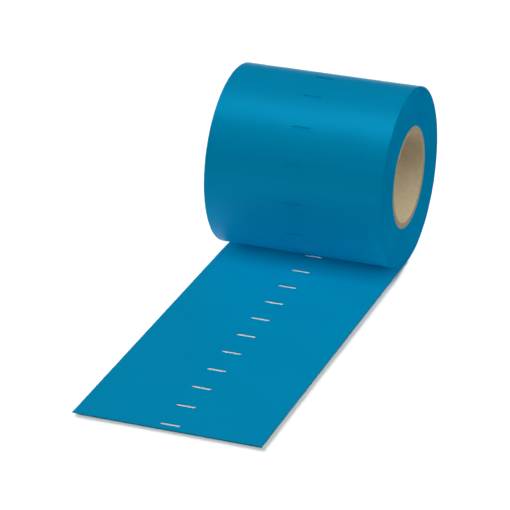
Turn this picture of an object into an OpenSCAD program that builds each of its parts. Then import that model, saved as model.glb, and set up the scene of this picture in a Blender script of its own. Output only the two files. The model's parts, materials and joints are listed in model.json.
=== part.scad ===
// Roll of slotted plastic strip on a paper core, with its free end laid out flat.
// +X runs along the roll's axis, -Y along the free end, +Z up. The origin is on the
// resting surface, in the middle of the footprint.

/* [Strip] */
// Width of the strip
strip_w = 152.4; // [100:0.1:200]
// Thickness of the strip
strip_t = 0.3; // [0.2:0.05:0.5]
// Length laid flat, from the line where the roll rests to the cut end
tail_len = 346; // [250:1:450]

/* [Slots] */
// Length of a slot, across the strip
slot_len = 16; // [8:0.5:24]
// Width of a slot, along the strip
slot_w = 3; // [2:0.1:4]
// Distance from one slot to the next
slot_pitch = 31.75; // [25:0.05:40]
// Distance from the cut end to the middle of the last slot
slot_margin = 9; // [5:0.5:12]

/* [Roll] */
// Outside diameter of the full roll
roll_d = 152; // [140:1:170]

/* [Core] */
// Inside diameter of the core
core_bore_d = 76.2; // [70:0.1:80]
// Wall of the core
core_wall = 5; // [3:0.5:6]
// Thickness of each of the core's two covering plies
core_ply_t = 0.6; // [0.4:0.1:0.8]
// How far each end of the core lies inside the edge of the strip
core_recess = 0.6; // [0:0.1:2]
// Thickness of the adhesive tape that holds the strip's inner end on the core
starter_t = 0.1; // [0.05:0.05:0.2]
// Width of that tape round the core, in degrees
starter_angle = 34; // [20:2:60]

/* [Movement] */
// Radial room in which the wound turns slide inside the outer turn
turn_gap = 0.3; // [0.3:0.05:0.5]
// Distance from the resting line to the line from which the free end lifts
lift_from = 66.5; // [60:0.5:75]

/* [Hidden] */
$fn = 128;

roll_r = roll_d / 2;
roll_y = (tail_len - roll_r) / 2;
cut_y = roll_y - tail_len;

core_bore_r = core_bore_d / 2;
core_r = core_bore_r + core_wall;
core_len = strip_w - 2 * core_recess;
first_turn_r = core_r + starter_t;
wound_r = roll_r - 2 * strip_t - turn_gap;

// The outer turn is a spiral of two half rings: the back one about the roll's axis, the
// front one half a thickness higher and smaller, so that the strip comes in over itself.
front_rise = strip_t / 2;
front_r = roll_r - front_rise;
// The front half ring stops this far short of the resting line
turn_end_angle = 6;
slot_round_steps = 6;
cut_over = 1;

strip_colour = "#0885b5";
paper_colour = "#b7a07c";
liner_colour = "#c6ad86";

// Tube along X, centred on the roll's axis
module tube(outer_r, inner_r, length) {
  translate([0, roll_y, roll_r])
    rotate([0, 90, 0])
      difference() {
        cylinder(r = outer_r, h = length, center = true);
        cylinder(r = inner_r, h = length + 2 * cut_over, center = true);
      }
}

// Outline of one slot: straight sides and round ends
module slot_outline() {
  end_x = (slot_len - slot_w) / 2;
  polygon([
    for (side = [0, 1], i = [0 : slot_round_steps])
      let (a = -90 + 180 * side + 180 * i / slot_round_steps)
        [(1 - 2 * side) * end_x + slot_w / 2 * cos(a), slot_w / 2 * sin(a)]
  ]);
}

// Slots of the flat strip whose middles lie between two distances from the cut end
module flat_slots(from, to) {
  for (d = [slot_margin : slot_pitch : to])
    if (d > from)
      translate([0, cut_y + d, -cut_over])
        linear_extrude(strip_t + 2 * cut_over) slot_outline();
}

// Flat strip between two distances from the cut end
module flat_strip(from, to) {
  difference() {
    translate([-strip_w / 2, cut_y + from, 0]) cube([strip_w, to - from, strip_t]);
    flat_slots(from, to);
  }
}

// Half of a thin ring about an axis along X, behind the axis or in front of it
module half_ring(axis_z, outer_r, back) {
  side_y = back ? 0 : -(outer_r + cut_over);
  intersection() {
    translate([0, roll_y, axis_z])
      rotate([0, 90, 0])
        difference() {
          cylinder(r = outer_r, h = strip_w, center = true);
          cylinder(r = outer_r - strip_t, h = strip_w + 2 * cut_over, center = true);
        }
    translate([-strip_w, roll_y + side_y, axis_z - outer_r - cut_over])
      cube([2 * strip_w, outer_r + cut_over, 2 * (outer_r + cut_over)]);
  }
}

// Slots round the outer turn, at their places along the strip
module turn_slots() {
  half_turn = PI * roll_r;
  whole_turn = half_turn + PI * front_r * (1 - turn_end_angle / 180);
  for (d = [slot_margin : slot_pitch : tail_len + whole_turn - slot_w]) {
    along = d - tail_len;
    in_front = along > half_turn;
    ring_r = in_front ? front_r : roll_r;
    angle = in_front ? 180 + (along - half_turn) / ring_r * 180 / PI : along / ring_r * 180 / PI;
    if (along > slot_w)
      translate([0, roll_y, roll_r + (in_front ? front_rise : 0)])
        rotate([angle, 0, 0])
          translate([0, 0, -ring_r - cut_over])
            linear_extrude(strip_t + 2 * cut_over) slot_outline();
  }
}

// Wedge along X with its edge on an axis along X. Its angles run from straight down, and
// grow towards the back.
module wedge(axis_z, from, to) {
  reach = 2 * roll_r;
  translate([0, roll_y, axis_z])
    rotate([0, 90, 0])
      linear_extrude(2 * strip_w, center = true)
        polygon([[0, 0], reach * [cos(from), sin(from)], reach * [cos(to), sin(to)]]);
}

module core_inner_ply() {
  color(liner_colour) tube(core_bore_r + core_ply_t, core_bore_r, core_len);
}

module core_body() {
  color(paper_colour) tube(core_r - core_ply_t, core_bore_r + core_ply_t, core_len);
}

module core_outer_ply() {
  color(liner_colour) tube(core_r, core_r - core_ply_t, core_len);
}

module starter_tape() {
  color("#e8e2c8")
    intersection() {
      tube(core_r + starter_t, core_r, core_len);
      wedge(roll_r, 180 - starter_angle / 2, 180 + starter_angle / 2);
    }
}

module strip_first_turn() {
  color(strip_colour) tube(first_turn_r + strip_t, first_turn_r, strip_w);
}

module strip_wound_turns() {
  color(strip_colour) tube(wound_r, first_turn_r + strip_t, strip_w);
}

module strip_outer_turn() {
  color(strip_colour)
    difference() {
      union() {
        half_ring(roll_r, roll_r, true);
        half_ring(roll_r + front_rise, front_r, false);
      }
      wedge(roll_r + front_rise, -turn_end_angle, 0);
      turn_slots();
    }
}

module strip_tail() {
  color(strip_colour) flat_strip(tail_len - lift_from, tail_len);
}

module strip_tail_end() {
  color(strip_colour) flat_strip(0, tail_len - lift_from);
}

core_inner_ply();
core_body();
core_outer_ply();
starter_tape();
strip_first_turn();
strip_wound_turns();
strip_outer_turn();
strip_tail();
strip_tail_end();
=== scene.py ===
# Roll of slotted blue film on a paper core, with its free end laid out flat.
import json
import math
import random

import bpy
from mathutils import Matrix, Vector
from mathutils.noise import noise


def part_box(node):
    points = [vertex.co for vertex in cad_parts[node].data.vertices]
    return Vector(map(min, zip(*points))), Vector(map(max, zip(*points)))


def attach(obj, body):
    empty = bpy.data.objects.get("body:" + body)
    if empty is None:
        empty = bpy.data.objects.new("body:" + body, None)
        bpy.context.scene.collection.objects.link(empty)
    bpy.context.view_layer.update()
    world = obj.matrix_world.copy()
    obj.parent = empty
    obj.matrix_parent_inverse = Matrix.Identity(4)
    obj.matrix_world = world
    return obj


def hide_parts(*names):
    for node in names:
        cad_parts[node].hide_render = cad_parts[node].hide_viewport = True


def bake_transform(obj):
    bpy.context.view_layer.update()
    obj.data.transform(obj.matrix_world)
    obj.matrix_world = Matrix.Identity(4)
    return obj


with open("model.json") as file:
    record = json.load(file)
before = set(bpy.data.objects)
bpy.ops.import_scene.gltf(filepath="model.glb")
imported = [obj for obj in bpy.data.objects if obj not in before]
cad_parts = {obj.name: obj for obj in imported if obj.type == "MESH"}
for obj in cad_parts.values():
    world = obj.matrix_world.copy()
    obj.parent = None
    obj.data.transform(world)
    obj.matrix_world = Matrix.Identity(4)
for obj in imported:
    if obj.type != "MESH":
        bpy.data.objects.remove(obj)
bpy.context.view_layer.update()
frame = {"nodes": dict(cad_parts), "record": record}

# ---- Sizes and places, in metres ----

def node_size(node, axis):
    """A CAD node's size along X, Y or Z, for an axis of 0, 1 or 2."""
    low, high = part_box(node)
    return high[axis] - low[axis]


JOINTS = {joint["name"]: joint for joint in frame["record"]["behaviour"]["joints"]}
ROLL_AXIS = Vector(JOINTS["roll_turn"]["pos_m"])

STRIP_W = node_size("strip_tail", 0)
STRIP_T = node_size("strip_tail", 2)
CUT_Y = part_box("strip_tail_end")[0][1]
TAIL_LEN = ROLL_AXIS.y - CUT_Y
ROLL_R = node_size("strip_outer_turn", 2) / 2
FIRST_TURN_R = node_size("strip_first_turn", 2) / 2 - STRIP_T

CORE_W = node_size("core_body", 0)
CORE_R = node_size("core_outer_ply", 2) / 2
BOARD_R = node_size("core_body", 2) / 2
LINING_R = node_size("core_inner_ply", 2) / 2
BORE_R = frame["record"]["mounts"][0]["dims"]["r_mm"] / 1000

# Slots punched along the middle of the strip, counted from the cut end
SLOT_PITCH = 0.03175
SLOT_MARGIN = 0.009
SLOT_LEN = 0.016
SLOT_W = 0.003

# The laid film rises from a line a little in front of the resting line, over a ramp. Beyond
# it the film stands off the table in soft waves, and curls up at its long edges and cut end.
RISE_FROM = 0.004
RISE_RAMP = 0.04
RISE_EVEN = 0.00012
RISE_WAVES = 0.00008
RISE_LONG_EDGES = 0.0006
RISE_CUT_END = 0.0005
CUT_END_CURL = 0.012
# Waves per metre across and along the strip, and a layer of the noise to take them from
LONG_WAVES = (13, 11, 2.7)
SHORT_WAVES = (37, 30, 8.1)
SHORT_WAVE_SHARE = 0.3

# After the outer turn the strip goes on inwards for most of another turn. The wound turns
# inside it are a piece of their own, with a gap round them in which they turn.
OVERLAP_DEG = 320
WOUND_GAP = 0.00012
WOUND_R = ROLL_R - STRIP_T * (2 + OVERLAP_DEG / 360) - WOUND_GAP
WOUND_STEPS = 144

# Ends of the wound film: each turn's edge is a ridge with a groove beside it. The turns
# drift in and out together and jitter one by one, and each wanders on its way round.
WOUND_SEED = 11
EDGE_INSET = 0.00002
EDGE_GROOVE = 0.00006
EDGE_DRIFT = 0.00007
DRIFT_PER_TURN = 0.09
DRIFT_LAYER = 3.3
EDGE_JITTER = 0.00005
EDGE_WANDER = 0.00004
RIDGE_FROM = 0.15
RIDGE_TO = 0.85

# Ends of the core: the shape of one ply's edge, as (share of the ply, distance back), and
# how much the plies and the saw cut vary
PLY_SHAPE = ((0.1, 0.00004), (0.3, 0), (0.7, 0), (0.9, 0.00004))
PLY_JITTER = 0.00012
SAW_FUZZ = 0.00005
WORN_CORNER = 0.0007
CORE_STEPS = 160
# Where the core's wall has points between its ends, as shares of half its length
WALL_STOPS = (0.94, 0.6, 0.2, -0.2, -0.6, -0.94)
# Points of the core and the wound film further out along X than this belong to their ends
END_X = 0.45 * CORE_W
# Noise on those ends: its size round the roll, and its changes per metre of radius
WANDER_NOISE = (1.4, 300)
SAW_NOISE = (9, 2600)

# Mesh round one slot: a patch of the strip's grid, replaced by rings of faces. The rings'
# places are shares of the way from the slot's rim to the patch's edge.
PATCH_X = 0.012
PATCH_ALONG = 0.0045
PATCH_STEPS_X = 12
PATCH_STEPS_ALONG = 4
SLOT_RINGS = (0.0, 0.06, 0.35)
# Steps of the grid beside the patches, and along it between one patch and the next
SIDE_STEPS = 14
PLAIN_STEPS = 10
PATCH_LEFT = SIDE_STEPS
PATCH_RIGHT = SIDE_STEPS + PATCH_STEPS_X

# Edges that bend by more than this look sharp
SHARP_DEG = 40


# ---- Mesh helpers ----

def new_piece(name, points, faces):
    """A mesh object, smooth except over its sharp edges."""
    mesh = bpy.data.meshes.new(name)
    mesh.from_pydata(points, [], faces)
    mesh.validate()
    mesh.polygons.foreach_set("use_smooth", [True] * len(mesh.polygons))
    mesh.set_sharp_from_angle(angle=math.radians(SHARP_DEG))
    piece = bpy.data.objects.new(name, mesh)
    bpy.context.scene.collection.objects.link(piece)
    return piece


def stops(start, end, count):
    """Evenly spaced numbers from start up to end, without end itself."""
    return [start + (end - start) * i / count for i in range(count)]


def slot_middles(start, end):
    """Distances from the cut end to each slot's middle that lies between start and end."""
    middles = []
    middle = SLOT_MARGIN
    while middle + PATCH_ALONG < end:
        if middle - PATCH_ALONG > start:
            middles.append(middle)
        middle += SLOT_PITCH
    return middles


def cross_stops():
    """Places across the strip, with the slots' patch in the middle."""
    left = stops(-STRIP_W / 2, -PATCH_X, SIDE_STEPS)
    middle = stops(-PATCH_X, PATCH_X, PATCH_STEPS_X)
    right = [-x for x in reversed(left)]
    return left + middle + [PATCH_X] + right


def along_stops(start, end):
    """Places along the strip, with each slot's patch between plain stretches."""
    places = []
    here = start
    for middle in slot_middles(start, end):
        places += stops(here, middle - PATCH_ALONG, PLAIN_STEPS)
        places += stops(middle - PATCH_ALONG, middle + PATCH_ALONG, PATCH_STEPS_ALONG)
        here = middle + PATCH_ALONG
    return places + stops(here, end, PLAIN_STEPS) + [end]


def slot_outline():
    """Points round one slot, one for each point round its patch. The first half goes from
    the left corner along the near side and up the right end. The second half is the same,
    turned half round."""
    radius = SLOT_W / 2
    reach = (SLOT_LEN - SLOT_W) / 2
    step_deg = 90 / PATCH_STEPS_ALONG
    corner_steps = PATCH_STEPS_ALONG // 2

    def on_round_end(middle_x, angle_deg):
        angle = math.radians(angle_deg)
        return (middle_x + radius * math.cos(angle), radius * math.sin(angle))

    half = [on_round_end(-reach, -90 - step_deg * i) for i in range(corner_steps, 0, -1)]
    half += [(x, -radius) for x in stops(-reach, reach, PATCH_STEPS_X - 2 * corner_steps)]
    half += [
        on_round_end(reach, -90 + step_deg * i) for i in range(corner_steps + PATCH_STEPS_ALONG)
    ]
    return half + [(-x, -y) for x, y in half]


def around(first_i, last_i, first_j, last_j):
    """The grid's points round the edge of a rectangle of it, as (column, row), in order."""
    loop = [(i, first_j) for i in range(first_i, last_i)]
    loop += [(last_i, j) for j in range(first_j, last_j)]
    loop += [(i, last_j) for i in range(last_i, first_i, -1)]
    loop += [(first_i, j) for j in range(last_j, first_j, -1)]
    return loop


def ring_faces(inner, outer):
    """Faces between two closed loops with the same number of points."""
    faces = []
    for k in range(len(inner)):
        n = (k + 1) % len(inner)
        faces.append((inner[k], inner[n], outer[n], outer[k]))
    return faces


def patch_rows(along, start, end):
    """The middle of each slot between start and end, by the row where its patch begins."""
    rows = {}
    for middle in slot_middles(start, end):
        first = min(range(len(along)), key=lambda j: abs(along[j] - middle + PATCH_ALONG))
        rows[first] = middle
    return rows


def in_patches(patches, margin):
    """The (column, row) pairs in the patches, without a margin at their low edges."""
    return {
        (i, first + j)
        for first in patches
        for i in range(PATCH_LEFT + margin, PATCH_RIGHT)
        for j in range(margin, PATCH_STEPS_ALONG)
    }


def slot_loops(across, along, first, middle, grid, points, place):
    """Loops of point numbers, from a slot's rim out to its patch's edge. Adds the points of
    all loops but the last, which are the grid's own."""
    border = around(PATCH_LEFT, PATCH_RIGHT, first, first + PATCH_STEPS_ALONG)
    outline = slot_outline()
    loops = []
    for share in SLOT_RINGS:
        loops.append(range(len(points), len(points) + len(outline)))
        for (x, s), (i, j) in zip(outline, border):
            mixed_x = x + (across[i] - x) * share
            mixed_s = middle + s + (along[j] - middle - s) * share
            points.append(place(mixed_x, mixed_s))
    loops.append([grid[node] for node in border])
    return loops


def strip_side(across, along, patches, points, place):
    """One side of a stretch of the strip. Adds its points to points. Returns its grid of
    point numbers, the rims of its slots, and its faces."""
    inside = in_patches(patches, 1)
    filled = in_patches(patches, 0)
    grid = {}
    for j, s in enumerate(along):
        for i, x in enumerate(across):
            if (i, j) not in inside:
                grid[i, j] = len(points)
                points.append(place(x, s))
    rims = []
    faces = []
    for first, middle in patches.items():
        loops = slot_loops(across, along, first, middle, grid, points, place)
        rims.append(loops[0])
        for inner, outer in zip(loops, loops[1:]):
            faces += ring_faces(inner, outer)
    for j in range(len(along) - 1):
        for i in range(len(across) - 1):
            if (i, j) not in filled:
                faces.append((grid[i, j], grid[i, j + 1], grid[i + 1, j + 1], grid[i + 1, j]))
    return grid, rims, faces


def strip_mesh(name, start, end, place):
    """A stretch of the strip as one closed sheet with its slots cut through. place gives the
    point for a position across, a position along and a depth below the strip's outer face."""
    across = cross_stops()
    along = along_stops(start, end)
    patches = patch_rows(along, start, end)
    points = []
    outer_grid, outer_rims, faces = strip_side(
        across, along, patches, points, lambda x, s: place(x, s, 0)
    )
    inner_grid, inner_rims, inner_faces = strip_side(
        across, along, patches, points, lambda x, s: place(x, s, STRIP_T)
    )
    faces += [face[::-1] for face in inner_faces]
    for outer_rim, inner_rim in zip(outer_rims, inner_rims):
        faces += ring_faces(inner_rim, outer_rim)
    border = around(0, len(across) - 1, 0, len(along) - 1)
    outer_border = [outer_grid[node] for node in border]
    inner_border = [inner_grid[node] for node in border]
    faces += ring_faces(outer_border, inner_border)
    return new_piece(name, points, faces)


def ring_noise(radius, angle, size_round, per_metre_out):
    """A soft random number for each place on an end of the roll."""
    x = size_round * math.cos(angle)
    y = size_round * math.sin(angle)
    return noise(Vector((x, y, radius * per_metre_out)))


def revolve(name, profile, steps, end_shift):
    """A closed profile of (radius, x) turned round the roll's axis. end_shift says how far
    the points of both ends move along X, from their radius and angle."""
    points = []
    for k in range(steps):
        angle = 2 * math.pi * k / steps
        for radius, x in profile:
            shift = end_shift(radius, angle) if abs(x) > END_X else 0
            y = ROLL_AXIS.y + radius * math.sin(angle)
            z = ROLL_AXIS.z - radius * math.cos(angle)
            points.append((x + shift, y, z))
    count = len(profile)
    faces = []
    for k in range(steps):
        here = k * count
        there = (k + 1) % steps * count
        for p in range(count):
            q = (p + 1) % count
            faces.append((here + p, here + q, there + q, there + p))
    return new_piece(name, points, faces)


# ---- The strip ----

def waves(x, s, per_metre_x, per_metre_s, layer):
    """Soft random waves across and along the strip."""
    return noise(Vector((x * per_metre_x, s * per_metre_s, layer)))


def film_rise(x, s):
    """How far the laid film stands off the table, at a place across and along the strip."""
    share = min(max((TAIL_LEN - RISE_FROM - s) / RISE_RAMP, 0), 1)
    free = share * share * (3 - 2 * share)
    edge = (2 * x / STRIP_W) ** 4
    cut = max(1 - s / CUT_END_CURL, 0) ** 2
    wave = waves(x, s, *LONG_WAVES) + SHORT_WAVE_SHARE * waves(x, s, *SHORT_WAVES)
    rise = RISE_EVEN + RISE_WAVES * wave
    rise += RISE_LONG_EDGES * edge
    rise += RISE_CUT_END * cut * (1 - edge)
    return free * rise


def flat_place(x, s, depth):
    """A point of the strip where it lies on the table, with its outer face down."""
    return (x, CUT_Y + s, film_rise(x, s) + depth)


def wound_place(x, s, depth):
    """A point of the strip where it winds up round the back of the roll and on inwards."""
    angle = (s - TAIL_LEN) / (ROLL_R - STRIP_T / 2)
    radius = ROLL_R - STRIP_T * angle / (2 * math.pi) - depth
    return (
        x,
        ROLL_AXIS.y + radius * math.sin(angle),
        ROLL_AXIS.z - radius * math.cos(angle),
    )


def make_tail():
    """The free end, one sheet from the resting line to the cut end."""
    tail = strip_mesh("film_tail", 0, TAIL_LEN, flat_place)
    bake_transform(tail)
    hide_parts("strip_tail", "strip_tail_end")
    return tail


def make_outer_turn():
    """The strip's outermost turn and the stretch that follows it inwards."""
    length = (ROLL_R - STRIP_T / 2) * math.radians(360 + OVERLAP_DEG)
    turn = strip_mesh("film_outer_turn", TAIL_LEN, TAIL_LEN + length, wound_place)
    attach(turn, "strip")
    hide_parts("strip_outer_turn")
    return turn


def edge_wander(radius, angle):
    """How the edges of the wound turns wander in and out round the roll."""
    return EDGE_WANDER * ring_noise(radius, angle, *WANDER_NOISE)


def make_wound_turns():
    """The wound film. Each turn's edge is a fine ridge of its own on both ends."""
    rng = random.Random(WOUND_SEED)
    turns = round((WOUND_R - FIRST_TURN_R) / STRIP_T)
    pitch = (WOUND_R - FIRST_TURN_R) / turns
    edge = STRIP_W / 2 - EDGE_INSET
    one_end = []
    for k in range(turns):
        radius = FIRST_TURN_R + k * pitch
        drift = EDGE_DRIFT * noise(Vector((k * DRIFT_PER_TURN, DRIFT_LAYER, 0)))
        shift = drift - rng.uniform(0, EDGE_JITTER)
        one_end.append((radius, edge + shift - EDGE_GROOVE))
        one_end.append((radius + RIDGE_FROM * pitch, edge + shift))
        one_end.append((radius + RIDGE_TO * pitch, edge + shift))
    one_end.append((WOUND_R, edge - EDGE_GROOVE))
    other_end = [(radius, -x) for radius, x in reversed(one_end)]
    wound = revolve("film_wound_turns", one_end + other_end, WOUND_STEPS, edge_wander)
    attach(wound, "roll")
    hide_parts("strip_wound_turns", "strip_first_turn")
    return wound


# ---- The core ----

def ply_profile(inner_r, outer_r, plies, worn, seed):
    """A wall of paper plies, each one standing a little in or out at both ends. worn is how
    far the outer corner is rubbed back."""
    rng = random.Random(seed)
    pitch = (outer_r - inner_r) / plies
    half = CORE_W / 2
    one_end = []
    for k in range(plies):
        radius = inner_r + k * pitch
        edge = half - rng.uniform(0, PLY_JITTER)
        for share, back in PLY_SHAPE:
            one_end.append((radius + share * pitch, edge - back))
    one_end[0] = (inner_r, one_end[0][1])
    one_end[-1] = (outer_r, one_end[-1][1] - worn)
    walls = [half * share for share in WALL_STOPS]
    outer_wall = [(outer_r, x) for x in walls]
    inner_wall = [(inner_r, x) for x in reversed(walls)]
    other_end = [(radius, -x) for radius, x in reversed(one_end)]
    return one_end + outer_wall + other_end + inner_wall


def saw_cut(radius, angle):
    """How the sawn ends of the core vary, by a few hundredths of a millimetre."""
    return SAW_FUZZ * ring_noise(radius, angle, *SAW_NOISE)


def make_core():
    """The core's three bonded layers: lining, board and covering ply."""
    layers = [
        ("core_lining", "core_inner_ply", BORE_R, LINING_R, 2, 0, "core_liner"),
        ("core_board", "core_body", LINING_R, BOARD_R, 7, 0, "core_board"),
        ("core_covering", "core_outer_ply", BOARD_R, CORE_R, 2, WORN_CORNER, "core_liner"),
    ]
    made = []
    for name, node, inner_r, outer_r, plies, worn, finish in layers:
        profile = ply_profile(inner_r, outer_r, plies, worn, seed=name)
        layer = revolve(name, profile, CORE_STEPS, saw_cut)
        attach(layer, "roll")
        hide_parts(node)
        made.append(layer)
    return made


# ---- Materials ----

# Film: base colours, and the tint of its gloss
FILM_DARK = (0.0, 0.211, 0.394)
FILM_LIGHT = (0.0, 0.227, 0.420)
EDGE_DARK = (0.0, 0.213, 0.424)
EDGE_LIGHT = (0.0, 0.229, 0.450)
FILM_TINT = (0.02, 0.72, 1.0, 1)
# Film: noise scales, and depths in metres. The lines are fine across the strip and long
# along it.
CLOUD_SCALE = 22
LINE_STRETCH = (2600, 9, 9)
LINE_DEPTH = 0.000003
PEBBLE_SCALE = 2400
PEBBLE_DEPTH = 0.000004
# Film: how much the lines take from the roughness and add to it
SMOOTHER = 0.03
ROUGHER = 0.04

# Papers: base colours and noise scales. The specks' colours are shares of the dark one.
LINER_DARK = (0.40, 0.33, 0.21)
LINER_LIGHT = (0.47, 0.39, 0.26)
LINER_SCALE = 420
PULP_DARK = (0.255, 0.215, 0.135)
PULP_LIGHT = (0.33, 0.28, 0.18)
PULP_SCALE = 700
TAPE_DARK = (0.70, 0.65, 0.5)
TAPE_LIGHT = (0.76, 0.71, 0.56)
TAPE_SCALE = 300
FIBRE_STRETCH = (260, 1500, 1500)
FIBRE_SHARE = 0.4
FIBRE_DEPTH = 0.00003
SPECK_SCALE = 1900
SPECK_SHARE = 0.5
SPECK_DARK = 0.45
SPECK_LIGHT = 0.5
PAPER_SMOOTH = 0.8
PAPER_ROUGH = 0.93
PAPER_GLOSS = 0.25

TABLE_DARK = (0.93, 0.93, 0.93)
TABLE_LIGHT = (0.95, 0.95, 0.95)
TABLE_SCALE = 3
TABLE_ROUGHNESS = 0.9
TABLE_GLOSS = 0.1
# A face belongs to an end of a piece where its normal is nearer to X than this
FACING_X = 0.9
BLACK = (0, 0, 0, 1)
WHITE = (1, 1, 1, 1)


class Nodes:
    """Short calls for building one material's nodes."""

    def __init__(self, name):
        self.material = bpy.data.materials.new(name)
        self.material.use_nodes = True
        self.tree = self.material.node_tree
        self.shader = self.tree.nodes["Principled BSDF"]

    def add(self, kind, **settings):
        """A new node of a kind, with its settings."""
        node = self.tree.nodes.new(kind)
        for key, value in settings.items():
            setattr(node, key, value)
        return node

    def link(self, output, target):
        """A link from an output to an input."""
        self.tree.links.new(output, target)

    def coords(self, scale):
        """The place on the object, scaled along X, Y and Z."""
        place = self.add("ShaderNodeTexCoord")
        mapping = self.add("ShaderNodeMapping")
        mapping.inputs["Scale"].default_value = scale
        self.link(place.outputs["Object"], mapping.inputs["Vector"])
        return mapping.outputs["Vector"]

    def noise(self, scale, stretch=(1, 1, 1), detail=2, roughness=0.5):
        """Noise over the object. A large stretch along an axis makes it fine that way."""
        node = self.add("ShaderNodeTexNoise")
        node.inputs["Scale"].default_value = scale
        node.inputs["Detail"].default_value = detail
        node.inputs["Roughness"].default_value = roughness
        self.link(self.coords(stretch), node.inputs["Vector"])
        return node.outputs["Fac"]

    def ramp(self, value, low, high, start=0.35, end=0.65):
        """A colour that goes from low to high as the value goes from start to end."""
        node = self.add("ShaderNodeValToRGB")
        node.color_ramp.elements[0].position = start
        node.color_ramp.elements[1].position = end
        node.color_ramp.elements[0].color = (*low, 1)
        node.color_ramp.elements[1].color = (*high, 1)
        self.link(value, node.inputs["Fac"])
        return node.outputs["Color"]

    def spread(self, value, low, high, start=0.3, end=0.7):
        """A number that goes from low to high as the value goes from start to end."""
        node = self.add("ShaderNodeMapRange")
        node.inputs["From Min"].default_value = start
        node.inputs["From Max"].default_value = end
        node.inputs["To Min"].default_value = low
        node.inputs["To Max"].default_value = high
        self.link(value, node.inputs["Value"])
        return node.outputs["Result"]

    def blend(self, share, first, second):
        """Mixes two colours. share is the second one's share: a number or an output."""
        node = self.add("ShaderNodeMix", data_type="RGBA")
        if hasattr(share, "links"):
            self.link(share, node.inputs[0])
        else:
            node.inputs[0].default_value = share
        self.link(first, node.inputs[6])
        self.link(second, node.inputs[7])
        return node.outputs[2]

    def bump(self, height, distance, below=None):
        """A bump of a height map, laid over the normal below if there is one."""
        node = self.add("ShaderNodeBump")
        node.inputs["Distance"].default_value = distance
        self.link(height, node.inputs["Height"])
        if below is not None:
            self.link(below, node.inputs["Normal"])
        return node.outputs["Normal"]


def film_material(name, dark, light, roughness, streaks, gloss, metallic):
    """Satin blue film: even colour, faint rolling lines along the strip, fine pebbling.
    streaks is the share of the lines in the colour."""
    n = Nodes(name)
    cloud = n.noise(CLOUD_SCALE)
    lines = n.noise(1, stretch=LINE_STRETCH)
    colour = n.ramp(cloud, dark, light)
    line_colour = n.ramp(lines, dark, light)
    n.link(n.blend(streaks, colour, line_colour), n.shader.inputs["Base Color"])
    n.link(n.spread(lines, roughness - SMOOTHER, roughness + ROUGHER), n.shader.inputs["Roughness"])
    pebble = n.bump(n.noise(PEBBLE_SCALE), PEBBLE_DEPTH)
    rolled = n.bump(lines, LINE_DEPTH, below=pebble)
    n.link(rolled, n.shader.inputs["Normal"])
    n.shader.inputs["Specular IOR Level"].default_value = gloss
    n.shader.inputs["Specular Tint"].default_value = FILM_TINT
    n.shader.inputs["Metallic"].default_value = metallic
    return n.material


def board_material(name, dark, light, scale):
    """Kraft board: mottled pulp with short fibres and a few dark specks."""
    n = Nodes(name)
    pulp = n.ramp(n.noise(scale, detail=6, roughness=0.65), dark, light)
    fibres = n.noise(1, stretch=FIBRE_STRETCH, detail=4, roughness=0.6)
    fibre_colour = n.ramp(fibres, dark, light, start=0.42, end=0.6)
    mixed = n.blend(FIBRE_SHARE, pulp, fibre_colour)
    specks = n.spread(n.noise(SPECK_SCALE, detail=1), 0, SPECK_SHARE, start=0.68, end=0.76)
    speck_dark = tuple(SPECK_DARK * channel for channel in dark)
    speck_light = tuple(SPECK_LIGHT * channel for channel in dark)
    speck_colour = n.ramp(specks, speck_dark, speck_light)
    n.link(n.blend(specks, mixed, speck_colour), n.shader.inputs["Base Color"])
    n.link(n.spread(fibres, PAPER_SMOOTH, PAPER_ROUGH), n.shader.inputs["Roughness"])
    n.link(n.bump(fibres, FIBRE_DEPTH), n.shader.inputs["Normal"])
    n.shader.inputs["Specular IOR Level"].default_value = PAPER_GLOSS
    return n.material


def floor_material():
    """Plain white table top."""
    n = Nodes("table_white")
    tone = n.ramp(n.noise(TABLE_SCALE), TABLE_DARK, TABLE_LIGHT)
    n.link(tone, n.shader.inputs["Base Color"])
    n.shader.inputs["Roughness"].default_value = TABLE_ROUGHNESS
    n.shader.inputs["Specular IOR Level"].default_value = TABLE_GLOSS
    return n.material


def wall_material():
    """A white that glows by itself, so that it looks the same from all sides."""
    n = Nodes("wall_white")
    n.shader.inputs["Base Color"].default_value = BLACK
    n.shader.inputs["Specular IOR Level"].default_value = 0
    n.shader.inputs["Emission Color"].default_value = WHITE
    n.shader.inputs["Emission Strength"].default_value = 1
    return n.material


def paint(piece, material):
    """Gives the whole piece one material."""
    piece.data.materials.clear()
    piece.data.materials.append(material)


def paint_ends(piece, material):
    """Gives the faces at the piece's two ends along X a material of their own."""
    piece.data.materials.append(material)
    for face in piece.data.polygons:
        if abs(face.normal.x) > FACING_X:
            face.material_index = 1


# ---- Stage, light and camera ----

# Each light's FROM is where it comes from: degrees round from the free end's side towards
# +X, and degrees up.
# Soft boxes: power in watts, size and distance in metres
OVERHEAD_FROM = (-20, 78)
OVERHEAD_POWER = 180
ROLL_FILL_FROM = (-20, 98)
ROLL_FILL_POWER = 235
LAID_FILM_FROM = (0, 83)
LAID_FILM_POWER = 460
ROLL_BOX = (4.6, 2.8)
LAID_FILM_BOX = (4.4, 4.4)
BOX_DISTANCE = 6
# Far lights: strength, width in degrees and colour
TABLE_FROM = (0, 90)
TABLE_STRENGTH = 1.6
TABLE_WIDTH_DEG = 24
TABLE_COLOUR = (0.88, 0.98, 1)
GLOW_FROM = (0, -50)
GLOW_STRENGTH = 1.15
GLOW_WIDTH_DEG = 60
HOLE_FROM = (65, 70)
HOLE_STRENGTH = 2.45
HOLE_WIDTH_DEG = 40
SKIM_FROM = (-140, 8)
SKIM_STRENGTH = 15
SKIM_WIDTH_DEG = 12
SKIM_COLOUR = (1, 0.94, 0.91)
SURROUND = 0.04

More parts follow.
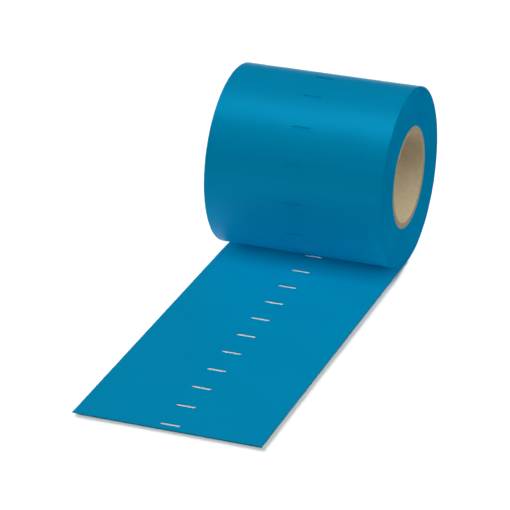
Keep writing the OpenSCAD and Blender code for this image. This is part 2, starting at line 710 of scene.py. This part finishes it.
FLOOR_DROP = 0.00002
ROOM_R = 12
WALL_STEPS = 64
WALL_FOOT = 0.1

# Camera: place in metres, where it looks from in degrees as for a light, and lens and
# sensor in millimetres
CAMERA_PLACE = (0.7465, -1.9927, 1.0473)
CAMERA_FROM = (20.76, 25.07)
CAMERA_LENS = 207.9
CAMERA_SENSOR = 36


def make_floor():
    """A wide flat floor, a hair below the object."""
    corners = [(-1, -1), (1, -1), (1, 1), (-1, 1)]
    points = [(x * ROOM_R, y * ROOM_R, -FLOOR_DROP) for x, y in corners]
    floor = new_piece("table", points, [(0, 1, 2, 3)])
    paint(floor, floor_material())
    return floor


def make_wall():
    """A white wall far round the table. It is only a background: it lights nothing and casts
    no shadow."""
    points = []
    faces = []
    for k in range(WALL_STEPS):
        angle = 2 * math.pi * k / WALL_STEPS
        x, y = ROOM_R * math.cos(angle), ROOM_R * math.sin(angle)
        points += [(x, y, -WALL_FOOT), (x, y, ROOM_R)]
        here, there = 2 * k, 2 * ((k + 1) % WALL_STEPS)
        faces.append((here, here + 1, there + 1, there))
    wall = new_piece("wall", points, faces)
    paint(wall, wall_material())
    wall.visible_diffuse = False
    wall.visible_glossy = False
    wall.visible_transmission = False
    wall.visible_shadow = False


def from_angles(side_deg, elevation_deg):
    """The direction at an elevation, turned round from the free end's side towards +X."""
    side, elevation = math.radians(side_deg), math.radians(elevation_deg)
    flat = math.cos(elevation)
    return Vector((math.sin(side) * flat, -math.cos(side) * flat, math.sin(elevation)))


def add_light(name, kind, angles, distance=1):
    """A light that shines at the origin. A far light's distance makes no difference."""
    direction = from_angles(*angles)
    data = bpy.data.lights.new(name, kind)
    light = bpy.data.objects.new(name, data)
    light.location = direction.normalized() * distance
    light.rotation_mode = "QUATERNION"
    light.rotation_quaternion = direction.to_track_quat("Z", "Y")
    bpy.context.scene.collection.objects.link(light)
    return light


def soft_box(name, angles, size, power):
    """A soft rectangular light."""
    light = add_light(name, "AREA", angles, BOX_DISTANCE)
    light.data.shape = "RECTANGLE"
    light.data.size, light.data.size_y = size
    light.data.energy = power
    return light


def far_light(name, angles, strength, width_deg):
    """A light so far away that it is even over the whole table. width_deg is how wide it
    looks from there."""
    light = add_light(name, "SUN", angles)
    light.data.energy = strength
    light.data.angle = math.radians(width_deg)
    return light


def group(name, members):
    """A collection of objects, for light linking."""
    made = bpy.data.collections.new(name)
    for member in members:
        made.objects.link(member)
    return made


def limit(light, receivers, blockers=None):
    """Makes a light reach the receivers only. Where blockers are given, only they shade it."""
    light.light_linking.receiver_collection = group(light.name + "_reaches", receivers)
    if blockers:
        light.light_linking.blocker_collection = group(light.name + "_shaded_by", blockers)


def light_roll(film_roll, core, tail):
    """Two wide boxes overhead: one gives the bright band on the roll, the other fills it."""
    overhead = soft_box("overhead", OVERHEAD_FROM, ROLL_BOX, OVERHEAD_POWER)
    limit(overhead, film_roll + core)
    fill = soft_box("roll_fill", ROLL_FILL_FROM, ROLL_BOX, ROLL_FILL_POWER)
    fill.visible_glossy = False
    limit(fill, film_roll, [tail])


def light_table(floor, tail, core_board):
    """A light each for the laid film and for the table. Only the laid film and the core's
    board shade them, so that the shadow under the roll stays shallow."""
    laid = soft_box("laid_film_light", LAID_FILM_FROM, LAID_FILM_BOX, LAID_FILM_POWER)
    limit(laid, [tail], [tail, core_board])
    table = far_light("table_light", TABLE_FROM, TABLE_STRENGTH, TABLE_WIDTH_DEG)
    table.data.color = TABLE_COLOUR
    limit(table, [floor], [tail, core_board])


def light_details(floor, film_roll, core, tail):
    """The white table's glow on the roll from below, a fill for the core and its hole, and a
    low light that draws the soft shadow along the laid film's edges."""
    glow = far_light("table_glow", GLOW_FROM, GLOW_STRENGTH, GLOW_WIDTH_DEG)
    glow.visible_glossy = False
    limit(glow, film_roll, core)
    hole = far_light("hole_fill", HOLE_FROM, HOLE_STRENGTH, HOLE_WIDTH_DEG)
    limit(hole, core, [tail])
    skim = far_light("table_skim", SKIM_FROM, SKIM_STRENGTH, SKIM_WIDTH_DEG)
    skim.data.color = SKIM_COLOUR
    limit(skim, [floor], [tail])


def make_surround():
    """A weak even white from all round."""
    world = bpy.data.worlds.new("surround")
    world.use_nodes = True
    background = world.node_tree.nodes["Background"]
    background.inputs["Color"].default_value = WHITE
    background.inputs["Strength"].default_value = SURROUND
    bpy.context.scene.world = world


def make_camera():
    """The camera looks down from the right of the free end."""
    data = bpy.data.cameras.new("camera")
    data.lens = CAMERA_LENS
    data.sensor_width = CAMERA_SENSOR
    camera = bpy.data.objects.new("camera", data)
    backwards = from_angles(*CAMERA_FROM)
    camera.location = CAMERA_PLACE
    camera.rotation_mode = "QUATERNION"
    camera.rotation_quaternion = backwards.to_track_quat("Z", "Y")
    bpy.context.scene.collection.objects.link(camera)
    bpy.context.scene.camera = camera


# ---- Build ----

tail = make_tail()
outer_turn = make_outer_turn()
wound_turns = make_wound_turns()
core_lining, core_board, core_covering = make_core()

film = film_material(
    "blue_film", FILM_DARK, FILM_LIGHT, roughness=0.37, streaks=0.5, gloss=0.1, metallic=0.13
)
film_edges = film_material(
    "blue_film_edges", EDGE_DARK, EDGE_LIGHT, roughness=0.55, streaks=0.2, gloss=0, metallic=0
)
paint(tail, film)
paint(outer_turn, film)
paint_ends(outer_turn, film_edges)
paint(wound_turns, film_edges)

liner_paper = board_material("core_liner_paper", LINER_DARK, LINER_LIGHT, LINER_SCALE)
pulp_board = board_material("core_board_pulp", PULP_DARK, PULP_LIGHT, PULP_SCALE)
tape_paper = board_material("starter_tape_paper", TAPE_DARK, TAPE_LIGHT, TAPE_SCALE)
paint(core_lining, liner_paper)
paint(core_board, pulp_board)
paint(core_covering, liner_paper)
paint_ends(core_lining, pulp_board)
paint_ends(core_covering, pulp_board)
paint(frame["nodes"]["starter_tape"], tape_paper)

floor = make_floor()
make_wall()
film_roll = [outer_turn, wound_turns]
core = [core_lining, core_board, core_covering]
light_roll(film_roll, core, tail)
light_table(floor, tail, core_board)
light_details(floor, film_roll, core, tail)
make_surround()
make_camera()
bpy.context.scene.view_settings.view_transform = "Standard"
